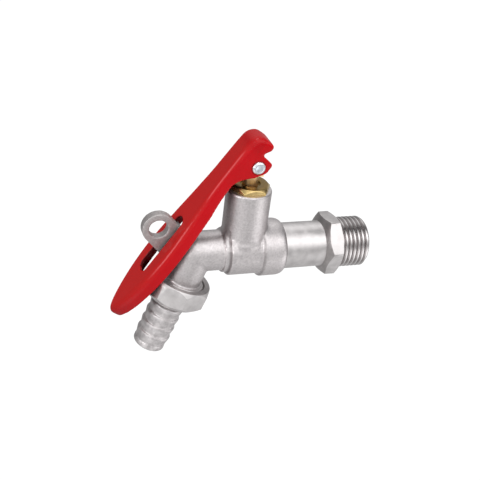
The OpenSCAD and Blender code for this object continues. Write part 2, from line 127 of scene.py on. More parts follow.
def roundEdges(piece, width):
    # flat faces first become whole again, then every sharp edge gets its round
    joinFlatFaces(piece)
    finishWith(piece, "BEVEL", width=width, segments=edgeSteps, limit_method="ANGLE",
               angle_limit=sharpTurn, use_clamp_overlap=True)
    smoothShade(piece)


def fade(distance, over):
    # 0 before the start, 1 once the distance is covered
    return min(1, max(0, distance / over))


def soften(piece, name, rounds, weightOf):
    # smooths the points that have a weight, the more the larger it is
    group = piece.vertex_groups.new(name=name)
    for point in piece.data.vertices:
        weight = weightOf(point)
        if weight > 0:
            group.add([point.index], min(1, weight), "REPLACE")
    finishWith(piece, "SMOOTH", factor=smoothFactor, iterations=rounds, vertex_group=name)


def markPlaces(piece, name, level):
    # the shade mark is 1 where shade is painted darker into the colour, cut is 1 where a tool left the metal
    # bright
    mark = piece.data.attributes.new(name, "FLOAT", "POINT")
    for point in piece.data.vertices:
        mark.data[point.index].value = fade(level(point.co, point.normal), 1)


def standFor(piece, node, body):
    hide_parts(node)
    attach(piece, body)


def placed(piece, origin, turn):
    # a piece made about Z is turned in the plane of the tap and set at its origin
    pick(piece)
    piece.matrix_world = Matrix.Translation(origin) @ Matrix.Rotation(turn, 4, "Y")
    bpy.ops.object.transform_apply(location=True, rotation=True, scale=True)


def lathe(name, outline):
    # a closed outline of (radius, height) points, turned about Z
    bpy.ops.object.select_all(action="DESELECT")
    bpy.ops.mesh.primitive_circle_add(vertices=len(outline), location=(0, 0, 0))
    piece = bpy.context.object
    piece.name = name
    for point, (radius, height) in zip(piece.data.vertices, outline):
        point.co = (radius, 0, height)
    finishWith(piece, "SCREW", axis="Z", angle=2 * math.pi, screw_offset=0, steps=roundSteps,
               render_steps=roundSteps, use_merge_vertices=True, merge_threshold=mergeGap / 2)
    editAll(piece)
    bpy.ops.mesh.remove_doubles(threshold=mergeGap)
    bpy.ops.mesh.normals_make_consistent(inside=False)
    bpy.ops.object.mode_set(mode="OBJECT")
    return piece


def turnDown(piece, cutter):
    finishWith(piece, "BOOLEAN", operation="DIFFERENCE", solver="EXACT", object=cutter)
    bpy.data.objects.remove(cutter)
    mergePoints(piece)


# Pipe thread

pipeThread = {
    "pitch": 1.814 * mm,
    "crestR": 10.46 * mm,
    "rootR": 9.33 * mm,
    "crestHalf": 0.27 * mm,  # half the width of the ridge at its crest
    "rootHalf": 0.86 * mm,
    "sunk": 0.15 * mm,  # how far the ridge reaches under the root
    "formOver": 0.01 * mm,  # how much the form that turns it down is larger than the crest
    "steps": 72,  # faces in a turn
    "spare": 1.5,  # turns wound before the start and as many past the end, which the form cuts off
}


def threadRidge(name, start, end, startLead, endLead):
    # a ridge wound about Z from start to end, turned down to the lead-in at each end
    size = pipeThread
    inner = size["rootR"] - size["sunk"]
    corners = [(inner, -size["rootHalf"]), (size["crestR"], -size["crestHalf"]),
               (inner, size["rootHalf"]), (size["crestR"], size["crestHalf"])]
    lowest = start - size["pitch"] * size["spare"]
    turns = int((end - start) / size["pitch"] + 2 * size["spare"])
    bpy.ops.object.select_all(action="DESELECT")
    bpy.ops.mesh.primitive_plane_add(size=1, location=(0, 0, 0))
    ridge = bpy.context.object
    ridge.name = name
    for point, (radius, height) in zip(ridge.data.vertices, corners):
        point.co = (radius, 0, lowest + height)
    editAll(ridge)
    bpy.ops.mesh.delete(type="ONLY_FACE")
    bpy.ops.object.mode_set(mode="OBJECT")
    finishWith(ridge, "SCREW", axis="Z", angle=2 * math.pi, screw_offset=size["pitch"], iterations=turns,
               steps=size["steps"], render_steps=size["steps"], use_normal_calculate=True)
    editAll(ridge)
    bpy.ops.mesh.remove_doubles(threshold=mergeGap)
    bpy.ops.mesh.select_all(action="DESELECT")
    bpy.ops.mesh.select_non_manifold()
    bpy.ops.mesh.edge_face_add()
    bpy.ops.mesh.select_all(action="SELECT")
    bpy.ops.mesh.normals_make_consistent(inside=False)
    bpy.ops.object.mode_set(mode="OBJECT")
    bpy.ops.object.select_all(action="DESELECT")
    bpy.ops.mesh.primitive_cylinder_add(vertices=roundSteps, radius=size["crestR"] + size["formOver"],
                                        depth=end - start, location=(0, 0, (start + end) / 2))
    turnedForm = bpy.context.object
    pick(turnedForm)
    bpy.ops.object.transform_apply(location=True, rotation=True, scale=True)
    for height, lead in ((start, startLead), (end, endLead)):
        if lead:
            selectPoints(turnedForm, lambda co: abs(co.z - height) < slack)
            bpy.ops.mesh.bevel(offset=lead, offset_type="OFFSET", segments=1, affect="EDGES")
            bpy.ops.object.mode_set(mode="OBJECT")
    finishWith(ridge, "BOOLEAN", operation="INTERSECT", solver="EXACT", object=turnedForm)
    bpy.data.objects.remove(turnedForm)
    return ridge


# Cast body

castBody = {
    "voxel": 0.34 * mm,
    "neckR": 9 * mm,
    "barrelR": 10.6 * mm,
    "creaseReach": 2.4 * mm,
    "creaseRounds": 20,
    "skinR": (8.6 * mm, 12.5 * mm),  # the barrel's skin lies between these, round its axis
    "ringEdges": (-47.3 * mm, -34.2 * mm),  # where the barrel steps to its ring and to its collar
    "ringReach": 1.3 * mm,
    "ringRounds": 2,
    "skinRounds": 3,
    "shadeLines": {-47.6 * mm: 0.8, -33.9 * mm: 0.5},  # how dark the painted shade in the corners of those steps is
    "shadeHalf": 0.4 * mm,
    "mouthX": -24 * mm,  # end of the collar, with painted shade on its end where it meets the connector
    "mouthReach": 2.5 * mm,
    "mouthFacing": (0.5, 3),  # from how far it faces the inlet, and how fast it darkens
    "threadFrom": 12.6 * mm,  # down the outlet from the bend
    "threadTo": 18 * mm,
    "threadLead": 0.8 * mm,
}


# painted shade: darker in the corners of the barrel's steps and on the collar's end next to the connector
def castShade(co, normal):
    size = castBody
    if not size["skinR"][0] <= math.hypot(co.y, co.z) <= size["skinR"][1]:
        return 0
    levels = [level * math.exp(-((co.x - x) / size["shadeHalf"]) ** 2)
              for x, level in size["shadeLines"].items()]
    if co.x > size["mouthX"] - size["mouthReach"]:
        least, gain = size["mouthFacing"]
        levels.append((normal.x - least) * gain)
    return max(levels)


def atNeckFoot(point):
    reach = castBody["creaseReach"]
    across = math.hypot(point.co.x - stemX, point.co.y) - castBody["neckR"]
    out = math.hypot(point.co.y, point.co.z) - castBody["barrelR"]
    return 1 if point.co.z > 0 and abs(across) < reach and abs(out) < reach else 0


def atRing(point):
    near = min(abs(point.co.x - edge) for edge in castBody["ringEdges"])
    onSkin = math.hypot(point.co.y, point.co.z) > castBody["skinR"][0]
    return 1 if onSkin and near < castBody["ringReach"] else 0


def makeCastBody():
    size = castBody
    piece = copyOfNode("valve_body", "cast_tap_body")
    toOutlet = (Matrix.Translation((bendX, 0, 0)) @ Matrix.Rotation(outletTurn, 4, "Y")).inverted()
    for point in piece.data.vertices:
        # the outlet's plain band goes down to the root of the thread that is wound on it
        place = toOutlet @ point.co
        radius = math.hypot(place.x, place.y)
        onBand = size["threadFrom"] - slack < place.z < size["threadTo"] + slack
        if onBand and radius > pipeThread["rootR"]:
            shrink = pipeThread["rootR"] / radius
            point.co = toOutlet.inverted() @ Vector((place.x * shrink, place.y * shrink, place.z))
    finishWith(piece, "REMESH", mode="VOXEL", voxel_size=size["voxel"], adaptivity=0)
    soften(piece, "crease", size["creaseRounds"], atNeckFoot)
    soften(piece, "ring", size["ringRounds"], atRing)
    finishWith(piece, "SMOOTH", factor=smoothFactor, iterations=size["skinRounds"])
    pick(piece)
    bpy.ops.object.shade_smooth()
    markPlaces(piece, "painted_shade", castShade)
    standFor(piece, "valve_body", "tap_body")
    return piece


def makeOutletThread():
    size = castBody
    lead = size["threadLead"]
    piece = threadRidge("outlet_thread", size["threadFrom"], size["threadTo"], lead, lead)
    placed(piece, (bendX, 0, 0), outletTurn)
    smoothShade(piece)
    standFor(piece, "valve_body", "tap_body")
    return piece


# Inlet connector

inletConnector = {
    "threadStart": 0.0,
    "threadEnd": 12.6 * mm,
    "lead": 1.1 * mm,
    "bandR": 10.48 * mm,  # the solid's plain band in place of the thread is inside this
    "edgeRound": 0.15 * mm,
    "cornerRound": 1.1 * mm,
    "cornerR": 13 * mm,  # the hexagon's corners are outside this
    "cornerLong": 3 * mm,  # and longer than this
    "cornerSteps": 4,
    # each cone leaves the face at its foot's radius and widens along x in its way, and its slope is the
    # radius gained per length
    "backCone": {"foot": 9.72 * mm, "slope": 1.6, "at": -6.82 * mm, "way": 1},
    "frontCone": {"foot": 11.5 * mm, "slope": 2.2, "at": 0.02 * mm, "way": -1},
    "coneReach": 16 * mm,
    "grooveShade": 0.5,  # painted shade in the thread's grooves, which fades out before the thread's end
    "grooveShadeEnd": 11.9 * mm,
    "grooveShadeFade": 1.2 * mm,
    # painted shade on the cone behind the hexagon
    "backShade": {"level": 0.6, "before": -1.5 * mm, "outside": 9.5 * mm, "facing": 0.15, "over": 0.25},
}


def connectorShade(co, normal):
    # painted shade in the grooves of the thread, and on the faces of the cone behind the hexagon that look
    # back along the pipe
    size = inletConnector
    radius = math.hypot(co.y, co.z)
    crest, root = pipeThread["crestR"], pipeThread["rootR"]
    if co.x > slack and radius > root - 2 * slack:
        depth = (crest - slack - radius) / (crest - root)
        return depth * min(size["grooveShade"], fade(size["grooveShadeEnd"] - co.x, size["grooveShadeFade"]))
    back = size["backShade"]
    if co.x < back["before"] and radius > back["outside"]:
        return back["level"] * fade(-normal.x - back["facing"], back["over"])
    return 0


def cutCone(piece, cone):
    reach = inletConnector["coneReach"]
    foot, face = cone["foot"], cone["at"]
    end = face + cone["way"] * (reach - foot) / cone["slope"]
    cutter = lathe("cone_cutter", [(foot, face), (reach, face), (reach, end)])
    placed(cutter, (0, 0, 0), inletTurn)
    turnDown(piece, cutter)


def makeInletConnector():
    size = inletConnector
    piece = copyOfNode("inlet_connector", "inlet_connector_threaded")
    rootR = pipeThread["rootR"]
    for point in piece.data.vertices:
        radius = math.hypot(point.co.y, point.co.z)
        if point.co.x > -slack / 2 and rootR < radius < size["bandR"]:
            point.co.y *= rootR / radius
            point.co.z *= rootR / radius
    joinFlatFaces(piece)
    selectEdges(piece, lambda a, b: abs(a.x - b.x) > size["cornerLong"]
                and min(math.hypot(a.y, a.z), math.hypot(b.y, b.z)) > size["cornerR"])
    bpy.ops.mesh.bevel(offset=size["cornerRound"], offset_type="OFFSET", segments=size["cornerSteps"],
                       affect="EDGES")
    bpy.ops.object.mode_set(mode="OBJECT")
    cutCone(piece, size["backCone"])
    cutCone(piece, size["frontCone"])
    roundEdges(piece, size["edgeRound"])
    ridge = threadRidge("inlet_thread", size["threadStart"], size["threadEnd"], 0, size["lead"])
    placed(ridge, (0, 0, 0), inletTurn)
    finishWith(piece, "BOOLEAN", operation="UNION", solver="EXACT", object=ridge)
    bpy.data.objects.remove(ridge)
    smoothShade(piece)
    markPlaces(piece, "painted_shade", connectorShade)
    markPlaces(piece, "cut", lambda co, normal: 1 if co.x > slack else 0)
    standFor(piece, "inlet_connector", "tap_body")
    return piece


# Pressed lever. In its own frame x runs from the rivet to the tip and z from the web into the channel.

pressedLever = {
    "voxel": 0.28 * mm,
    "pivot": (-39.6 * mm, 0, 38.6 * mm),
    "droop": math.radians(55.9),
    "bend": (1.15 * mm, 2.1 * mm),  # outside round between web and cheek, at the neck and at the grip
    "bendFrom": (18 * mm, 38 * mm),  # where the neck ends and where the grip starts
    "bendFacing": 0.2,  # how far the bend's points face outwards and up at least
    "drawnFrom": (-1 * mm, -6 * mm),  # the bend grows to the drawn corner of the head between these
    "drawnShare": 0.98,  # how much of the solid's own round that corner keeps
    "nose": {"x": -5.8 * mm, "fadeX": 1.6 * mm, "z": -3.2 * mm, "fadeZ": 1.2 * mm, "lift": 0.45 * mm},
    "corner": {"x": -4 * mm, "z": -3.5 * mm, "fade": 2 * mm, "facing": -0.3, "swell": 0.4 * mm},
    "ends": {"x": (-3.5 * mm, 78 * mm), "z": -2.2 * mm, "fade": 1.5 * mm, "rounds": 24},
    "head": {"x": -1.5 * mm, "fadeX": 3 * mm, "z": -3 * mm, "fadeZ": 1.5 * mm, "rounds": 40},
    "tips": {"places": ((-9.9 * mm, -1.2 * mm), (-3.3 * mm, 4.7 * mm), (-5.2 * mm, -1.4 * mm)),
             "reach": 2.6 * mm, "rounds": 40},  # nose, beak and notch
    "rims": {"facing": 0.96, "rounds": 18},
    "enamelRounds": 8,
}
toLever = (Matrix.Translation(pressedLever["pivot"])
           @ Matrix.Rotation(math.pi - pressedLever["droop"], 4, "Y")).inverted()

# In a cross-section the three points between web and cheek lie at 22.5, 45 and 67.5 degrees of their round
firstIn = 0.076
middleIn = 0.293
firstToLast = 0.541


def inLever(point):
    return toLever @ point.co, toLever.to_3x3() @ point.normal


def sideOf(place):
    return 1 if place.y > 0 else -1


def bendRound(distance, oldRound):
    # the round between web and cheek at this distance from the rivet
    size = pressedLever
    neckEnd, gripStart = size["bendFrom"]
    along = fade(distance - neckEnd, gripStart - neckEnd)
    newRound = min(size["bend"][0] * (1 - along) + size["bend"][1] * along, oldRound)
    begin, full = size["drawnFrom"]
    drawn = fade(begin - distance, begin - full)
    return newRound + (size["drawnShare"] * oldRound - newRound) * drawn if oldRound > newRound else newRound


def tightenBend(piece):
    # the three points of each cross-section move out to a smaller round
    rows = {}
    for point in piece.data.vertices:
        place, facing = inLever(point)
        side = sideOf(place)
        if min(facing.y * side, -facing.z) > pressedLever["bendFacing"] and place.z < 0:
            rows.setdefault((side, round(place.x / mm, 1)), []).append((place.z, place, point))
    for (side, distance), row in rows.items():
        if len(row) != 3:
            continue
        web, middle, cheek = [entry[1:] for entry in sorted(row, key=lambda entry: entry[0])]
        oldRound = (cheek[0].z - web[0].z) / firstToLast
        newRound = bendRound(web[0].x, oldRound)
        half = abs(cheek[0].y) + firstIn * oldRound
        face = web[0].z - firstIn * oldRound
        corners = ((1, 0), (middleIn, middleIn), (0, 1))
        for (place, point), (inward, deeper) in zip((web, middle, cheek), corners):
            moved = Vector((place.x, side * (half - inward * newRound), face + deeper * newRound))
            point.co = toLever.inverted() @ moved


def drawHead(piece):
    # the nose's tip is lifted, and the drawn corner of the head swells
    nose, corner = pressedLever["nose"], pressedLever["corner"]
    for point in piece.data.vertices:
        place, facing = inLever(point)
        weight = fade(nose["x"] - place.x, nose["fadeX"]) * fade(place.z - nose["z"], nose["fadeZ"])
        place.z += nose["lift"] * weight
        weight = fade(corner["x"] - place.x, corner["fade"]) * fade(corner["z"] - place.z, corner["fade"])
        if weight > 0 and min(facing.x, facing.z) < corner["facing"]:
            place += Vector((facing.x, 0, facing.z)).normalized() * corner["swell"] * weight
        point.co = toLever.inverted() @ place


def endWeight(point):
    size = pressedLever["ends"]
    place = toLever @ point.co
    beyond = max(size["x"][0] - place.x, place.x - size["x"][1])
    return beyond / size["fade"] if place.z < size["z"] else 0


def headWeight(point):
    size = pressedLever["head"]
    place = toLever @ point.co
    return min((size["x"] - place.x) / size["fadeX"], (size["z"] - place.z) / size["fadeZ"])


def tipWeight(point):
    size = pressedLever["tips"]
    place = toLever @ point.co
    return 1 - min(math.hypot(place.x - x, place.z - z) for x, z in size["places"]) / size["reach"]


def rimWeight(point):
    facing = toLever.to_3x3() @ point.normal
    return 1 if max(abs(facing.y), abs(facing.z)) < pressedLever["rims"]["facing"] else 0


# Where light and shade are painted into the enamel: painted shade in the hollow, round the rivet and on the
# head, a painted sheen on the web, and a painted highlight along the bends
enamelMarks = {
    "hollowZ": -7 * mm,
    "inwardFrom": 0.3,  # how far a face looks inwards where the painted shade starts
    "inwardOver": 0.4,
    # painted shadow round the rivet's head
    "rivetRing": {"radius": 2.65 * mm, "wide": 0.6 * mm, "dark": 0.6},
    # painted shade on the head
    "head": {"x": -3 * mm, "fade": 3 * mm, "z": -4 * mm, "dark": 0.13, "sheenCut": 0.6},
    "webFrom": 0.15,
    "webGain": 1.3,
    "bendZ": -6 * mm,
    "bentFrom": 0.47,  # how far a face looks both outwards and up where the painted highlight starts
    "bentGain": 6,
    "highlightAlong": {(-3 * mm, 22 * mm): 1, (31 * mm, 60 * mm): 0.5},  # how much painted highlight between which distances
    "highlightFade": 4 * mm,
}


def markEnamel(piece):
    look, ring, head = enamelMarks, enamelMarks["rivetRing"], enamelMarks["head"]
    marks = ("inside", "web", "bendHighlight")
    for name in marks:
        piece.data.attributes.new(name, "FLOAT", "POINT")
    inside, web, bendHighlight = [piece.data.attributes[name].data for name in marks]
    for point in piece.data.vertices:
        place, facing = inLever(point)
        # painted shade in the hollow, round the rivet and on the head
        inward = max(-facing.y * sideOf(place), facing.z if place.z < look["hollowZ"] else 0)
        nearRivet = ring["radius"] + ring["wide"] - math.hypot(place.x, place.z)
        onHead = fade(head["x"] - place.x, head["fade"]) if place.z < head["z"] else 0
        inside[point.index].value = max(fade(inward - look["inwardFrom"], look["inwardOver"]),
                                        ring["dark"] * fade(nearRivet, ring["wide"]),
                                        head["dark"] * onHead)
        # painted sheen on the web, cut back on the head
        upward = fade(-facing.z * look["webGain"] - look["webFrom"], 1)
        web[point.index].value = upward * (1 - head["sheenCut"] * onHead)
        # painted highlight along the bends, in two stretches of the lever
        paintedSheen = max(level * fade(min(place.x - start, end - place.x), look["highlightFade"])
                     for (start, end), level in look["highlightAlong"].items())
        bent = min(abs(facing.y), -facing.z) - look["bentFrom"] if place.z < look["bendZ"] else 0
        bendHighlight[point.index].value = fade(bent * look["bentGain"], 1) * paintedSheen


def makeLever():
    size = pressedLever
    piece = copyOfNode("lever", "enamelled_lever")
    tightenBend(piece)
    drawHead(piece)
    finishWith(piece, "REMESH", mode="VOXEL", voxel_size=size["voxel"], adaptivity=0)
    soften(piece, "ends", size["ends"]["rounds"], endWeight)
    soften(piece, "head", size["head"]["rounds"], headWeight)
    soften(piece, "tips", size["tips"]["rounds"], tipWeight)
    soften(piece, "rims", size["rims"]["rounds"], rimWeight)
    finishWith(piece, "SMOOTH", factor=smoothFactor, iterations=size["enamelRounds"])
    markEnamel(piece)
    pick(piece)
    bpy.ops.object.shade_smooth()
    standFor(piece, "lever", "lever_and_rivet")
    return piece


# Turned pieces, each a copy of its solid with rounded edges

turnedPieces = {
    "union_nut": {"name": "union_nut_turned", "body": "nut", "slot": "nickel_brass", "edge": 0.5 * mm},
    "hose_tail": {"name": "hose_tail_turned", "body": "tail_and_washer", "slot": "nickel_brass",
                  "edge": 0.45 * mm},
    "gland_nut": {"name": "gland_nut_turned", "body": "tap_body", "slot": "bare_brass", "edge": 0.15 * mm},
    "stem": {"name": "stem_turned", "body": "stem_and_ball", "slot": "bare_brass", "edge": 0.15 * mm},
    "pivot_rivet": {"name": "pivot_rivet_headed", "body": "lever_and_rivet", "slot": "zinc_steel",
                    "edge": 0.12 * mm},
}

# The gland nut's flat top with its turned corner, and the recess round the stem
glandTop = {
    "from": 27.6 * mm,
    "flatAt": 2.3 * mm,
    "flatR": 6.9 * mm,
    "recessAt": 1.2 * mm,
    "recessR": 4.1 * mm,
    "cutterR": (0.5 * mm, 9.4 * mm),
    "cutterOver": 4 * mm,
}

# The flat that the punch leaves in a rivet's head, with the rolled rim round it
rivetDimple = {
    "rim": 0.75 * mm,
    "deep": 0.16 * mm,
    "headFrom": 5.3 * mm,  # from the middle of the tap
    "flatFrom": 6.4 * mm,
    "flatFacing": 0.93,
    "shankR": 2 * mm,
    "trim": 0.93,  # the head's size over the solid's
    "rimHighlightFrom": (1.65 * mm, 2.05 * mm),  # from the rivet's axis, where the painted highlight on the rim starts and where it is full
}


def turnGland(piece):
    size = glandTop
    inner, outer = size["cutterR"]
    recess = size["from"] + size["recessAt"]
    top = size["from"] + size["flatAt"]
    over = top + size["cutterOver"]
    cutter = lathe("gland_cutter", [
        (inner, recess), (size["recessR"], recess), (size["recessR"], top), (size["flatR"], top),
        (outer, top - (outer - size["flatR"])), (outer, over), (inner, over)])
    placed(cutter, (stemX, 0, 0), 0)
    turnDown(piece, cutter)


def dimpleHeads(piece):
    size = rivetDimple
    middle = Vector(pressedLever["pivot"])
    for point in piece.data.vertices:
        away = point.co - middle
        if abs(away.y) > size["headFrom"] and math.hypot(away.x, away.z) > size["shankR"]:
            point.co = middle + Vector((away.x * size["trim"], away.y, away.z * size["trim"]))
    for side in (-1, 1):
        editAll(piece)
        bpy.ops.mesh.select_mode(type="FACE")
        bpy.ops.mesh.select_all(action="DESELECT")
        bpy.ops.object.mode_set(mode="OBJECT")
        for face in piece.data.polygons:
            flat = face.normal.y * side > size["flatFacing"]
            face.select = flat and face.center.y * side > size["flatFrom"]
        bpy.ops.object.mode_set(mode="EDIT")
        bpy.ops.mesh.dissolve_faces()
        bpy.ops.mesh.inset(thickness=size["rim"] / 2, depth=0)
        bpy.ops.mesh.inset(thickness=size["rim"] / 2, depth=-size["deep"])
        bpy.ops.object.mode_set(mode="OBJECT")


# Painted shade on the upper faces of both nuts: how much, and from how far a face looks up
outletDown = Matrix.Rotation(outletTurn, 3, "Y") @ Vector((0, 0, 1))
unionShadeLevels = {"level": 0.45, "facing": 0.6, "over": 0.25}
glandShadeLevels = {"level": 1, "facing": 0.7, "over": 0.2}


def unionTopShade(co, normal):
    return unionShadeLevels["level"] * fade(-normal.dot(outletDown) - unionShadeLevels["facing"], unionShadeLevels["over"])


def glandTopShade(co, normal):
    if co.z <= glandTop["from"]:
        return 0
    return glandShadeLevels["level"] * fade(normal.z - glandShadeLevels["facing"], glandShadeLevels["over"])


shadePlaces = {"union_nut": unionTopShade, "gland_nut": glandTopShade}


def makeTurnedPieces():
    made = {}
    for node, size in turnedPieces.items():
        piece = copyOfNode(node, size["name"])
        if node == "pivot_rivet":
            dimpleHeads(piece)
        if node == "gland_nut":
            turnGland(piece)
        roundEdges(piece, size["edge"])
        if node in shadePlaces:
            markPlaces(piece, "painted_shade", shadePlaces[node])
        standFor(piece, node, size["body"])
        made[node] = piece
    return made


# Finishes

def blankFinish(name):
    finish = bpy.data.materials.new(name)
    finish.use_nodes = True
    nodes = finish.node_tree.nodes
    nodes.clear()
    shader = nodes.new("ShaderNodeBsdfPrincipled")
    output = nodes.new("ShaderNodeOutputMaterial")
    finish.node_tree.links.new(shader.outputs["BSDF"], output.inputs["Surface"])
    return finish, shader


def addNode(finish, kind, **sockets):
    made = finish.node_tree.nodes.new(kind)
    for name, value in sockets.items():
        made.inputs[name.replace("_", " ")].default_value = value
    return made


def join(finish, source, target):
    finish.node_tree.links.new(source, target)


def objectPlace(finish):
    return addNode(finish, "ShaderNodeTexCoord").outputs["Object"]


def marked(finish, name):
    mark = addNode(finish, "ShaderNodeAttribute")
    mark.attribute_name = name
    return mark.outputs["Fac"]


def grain(finish, scale, detail=4.0, roughness=0.55):
    # noise that lies in the piece
    noise = addNode(finish, "ShaderNodeTexNoise", Scale=scale, Detail=detail, Roughness=roughness)
    join(finish, objectPlace(finish), noise.inputs["Vector"])
    return noise.outputs["Fac"]


def span(finish, source, low, high, begin=0.3, end=0.7):
    # low at begin and before, high at end and past it; most of a noise lies between 0.3 and 0.7
    ramp = addNode(finish, "ShaderNodeMapRange", From_Min=begin, From_Max=end, To_Min=low, To_Max=high)
    join(finish, source, ramp.inputs["Value"])
    return ramp.outputs["Result"]


def mixed(finish, factor, first, second, how="MIX"):
    # first is a colour or another node's socket, second is a colour
    mix = addNode(finish, "ShaderNodeMix")
    mix.data_type = "RGBA"
    mix.blend_type = how
    mix.inputs["B"].default_value = (*second, 1)
    if isinstance(first, tuple):
        mix.inputs["A"].default_value = (*first, 1)
    else:
        join(finish, first, mix.inputs["A"])
    join(finish, factor, mix.inputs["Factor"])
    return mix.outputs["Result"]


def twoTone(finish, source, dark, light):
    return mixed(finish, span(finish, source, 0, 1), dark, light)


def darkened(finish, colour, mask, shade):
    return mixed(finish, mask, colour, shade, "MULTIPLY")


def raised(finish, base, mask, amount):
    # the amount is added to the base where the mask is 1
    extra = addNode(finish, "ShaderNodeMath")
    extra.operation = "MULTIPLY_ADD"
    extra.inputs[1].default_value = amount
    join(finish, mask, extra.inputs[0])
    join(finish, base, extra.inputs[2])
    return extra.outputs["Value"]


def bumps(finish, source, depth, shader):
    bump = addNode(finish, "ShaderNodeBump", Strength=1.0, Distance=depth)
    join(finish, source, bump.inputs["Height"])
    join(finish, bump.outputs["Normal"], shader.inputs["Normal"])


def vectorStep(finish, operation, source, value):
    step = addNode(finish, "ShaderNodeVectorMath")
    step.operation = operation
    step.inputs[1].default_value = value
    join(finish, source, step.inputs[0])
    return step


padlockEar = {"way": (-1, 0, 0.5), "from": 70.5 * mm, "full": 73 * mm}


def earMask(finish):
    # 1 on the padlock ear, which isn't polished after casting
    along = vectorStep(finish, "DOT_PRODUCT", objectPlace(finish), padlockEar["way"])
    return span(finish, along.outputs["Value"], 0, 1, padlockEar["from"], padlockEar["full"])


def rimHighlightMask(finish):
    # 1 on the rolled rim of the rivet's heads, where a highlight is painted
    away = vectorStep(finish, "SUBTRACT", objectPlace(finish), pressedLever["pivot"])
    flat = vectorStep(finish, "MULTIPLY", away.outputs["Vector"], (1, 0, 1))
    far = addNode(finish, "ShaderNodeVectorMath")
    far.operation = "LENGTH"
    join(finish, flat.outputs["Vector"], far.inputs[0])
    return span(finish, far.outputs["Value"], 0, 1, *rivetDimple["rimHighlightFrom"])


def metalFinish(name, look):
    finish, shader = blankFinish(name)
    shader.inputs["Metallic"].default_value = 1.0
    colour = twoTone(finish, grain(finish, look["cloudScale"]), look["dark"], look["light"])
    roughness = span(finish, grain(finish, look["wearScale"]), look["smooth"], look["rough"])
    if "ear" in look:
        mask = earMask(finish)
        colour = darkened(finish, colour, mask, look["ear"])
        roughness = raised(finish, roughness, mask, look["earRough"])
    if "rim" in look:
        # painted highlight: the rim of the rivet's heads is made lighter
        colour = darkened(finish, colour, rimHighlightMask(finish), look["rim"])
    # painted shade: the colour is darkened towards the shade colour where the piece's shade mark is 1
    if "painted_shade" in look:
        colour = darkened(finish, colour, marked(finish, "painted_shade"), look["painted_shade"])
    if "cutRough" in look:
        roughness = raised(finish, roughness, marked(finish, "cut"), look["cutRough"])
    join(finish, colour, shader.inputs["Base Color"])
    join(finish, roughness, shader.inputs["Roughness"])
    bumps(finish, grain(finish, look["grainScale"]), look["grainDepth"], shader)
    return finish


blastedNickel = {
    "dark": (0.53, 0.499, 0.502), "light": (0.70, 0.664, 0.667), "painted_shade": (0.34, 0.32, 0.32),
    "cloudScale": 1300, "wearScale": 260, "smooth": 0.38, "rough": 0.48,
    "grainScale": 1700, "grainDepth": 0.026 * mm,
    "ear": (0.80, 0.80, 0.79), "earRough": 0.20,
}
tailNickel = {
    "dark": (0.49, 0.465, 0.467), "light": (0.80, 0.765, 0.768),
    "cloudScale": 500, "wearScale": 260, "smooth": 0.44, "rough": 0.58,
    "grainScale": 1500, "grainDepth": 0.020 * mm,
}
turnedNickel = {
    "dark": (0.56, 0.536, 0.535), "light": (0.71, 0.684, 0.683), "painted_shade": (0.42, 0.395, 0.39),
    "cloudScale": 300, "wearScale": 300, "smooth": 0.28, "rough": 0.38, "cutRough": -0.15,
    "grainScale": 2400, "grainDepth": 0.006 * mm,
}
nutNickel = {
    "dark": (0.57, 0.546, 0.545), "light": (0.72, 0.694, 0.693), "painted_shade": (0.42, 0.395, 0.39),
    "cloudScale": 300, "wearScale": 300, "smooth": 0.40, "rough": 0.50,
    "grainScale": 2400, "grainDepth": 0.008 * mm,
}
turnedBrass = {
    "dark": (0.54, 0.390, 0.150), "light": (0.69, 0.510, 0.235), "painted_shade": (0.36, 0.31, 0.21),
    "cloudScale": 300, "wearScale": 500, "smooth": 0.20, "rough": 0.30,
    "grainScale": 2500, "grainDepth": 0.003 * mm,
}
# brass painted lighter than the gland nut's, a painted light for reflections the stem misses in the lever's
# shade
litStemBrass = {
    "dark": (0.82, 0.58, 0.30), "light": (0.94, 0.70, 0.42),
    "cloudScale": 300, "wearScale": 500, "smooth": 0.34, "rough": 0.46,
    "grainScale": 2500, "grainDepth": 0.003 * mm,
}
zincPlate = {
    # the rim colour lifts the rim above the base colour, a painted highlight
    "dark": (0.61, 0.65, 0.71), "light": (0.75, 0.78, 0.83), "rim": (1.22, 1.18, 1.13),
    "cloudScale": 400, "wearScale": 600, "smooth": 0.25, "rough": 0.38,
    "grainScale": 1800, "grainDepth": 0.01 * mm,
}
platedBall = {
    "dark": (0.70, 0.71, 0.73), "light": (0.80, 0.81, 0.83),
    "cloudScale": 200, "wearScale": 300, "smooth": 0.06, "rough": 0.12,
    "grainScale": 1500, "grainDepth": 0.002 * mm,
}
whiteSealLook = {"dark": (0.78, 0.78, 0.75), "light": (0.88, 0.88, 0.86), "smooth": 0.39, "rough": 0.51}
blackSealLook = {"dark": (0.018, 0.018, 0.019), "light": (0.032, 0.032, 0.034), "smooth": 0.54, "rough": 0.66}
sealGrain = {"cloudScale": 900, "wearScale": 600, "grainScale": 3000, "grainDepth": 0.006 * mm}

redEnamel = {
    # the inside colour is a painted shade
    "deep": (0.57, 0.001, 0.005), "bright": (0.63, 0.002, 0.008), "inside": (0.20, 0.30, 0.35),
    # a painted sheen on the web and a painted highlight along the bends
    "paintedSheen": (0.62, 0.016, 0.016), "bendHighlight": (0.79, 0.10, 0.105),
    "cloudScale": 90, "wearScale": 700 / 3, "peelScale": 700, "peelDepth": 0.010 * mm,
    "smooth": 0.30, "rough": 0.40, "coat": 0.40, "coatRough": 0.07,
}


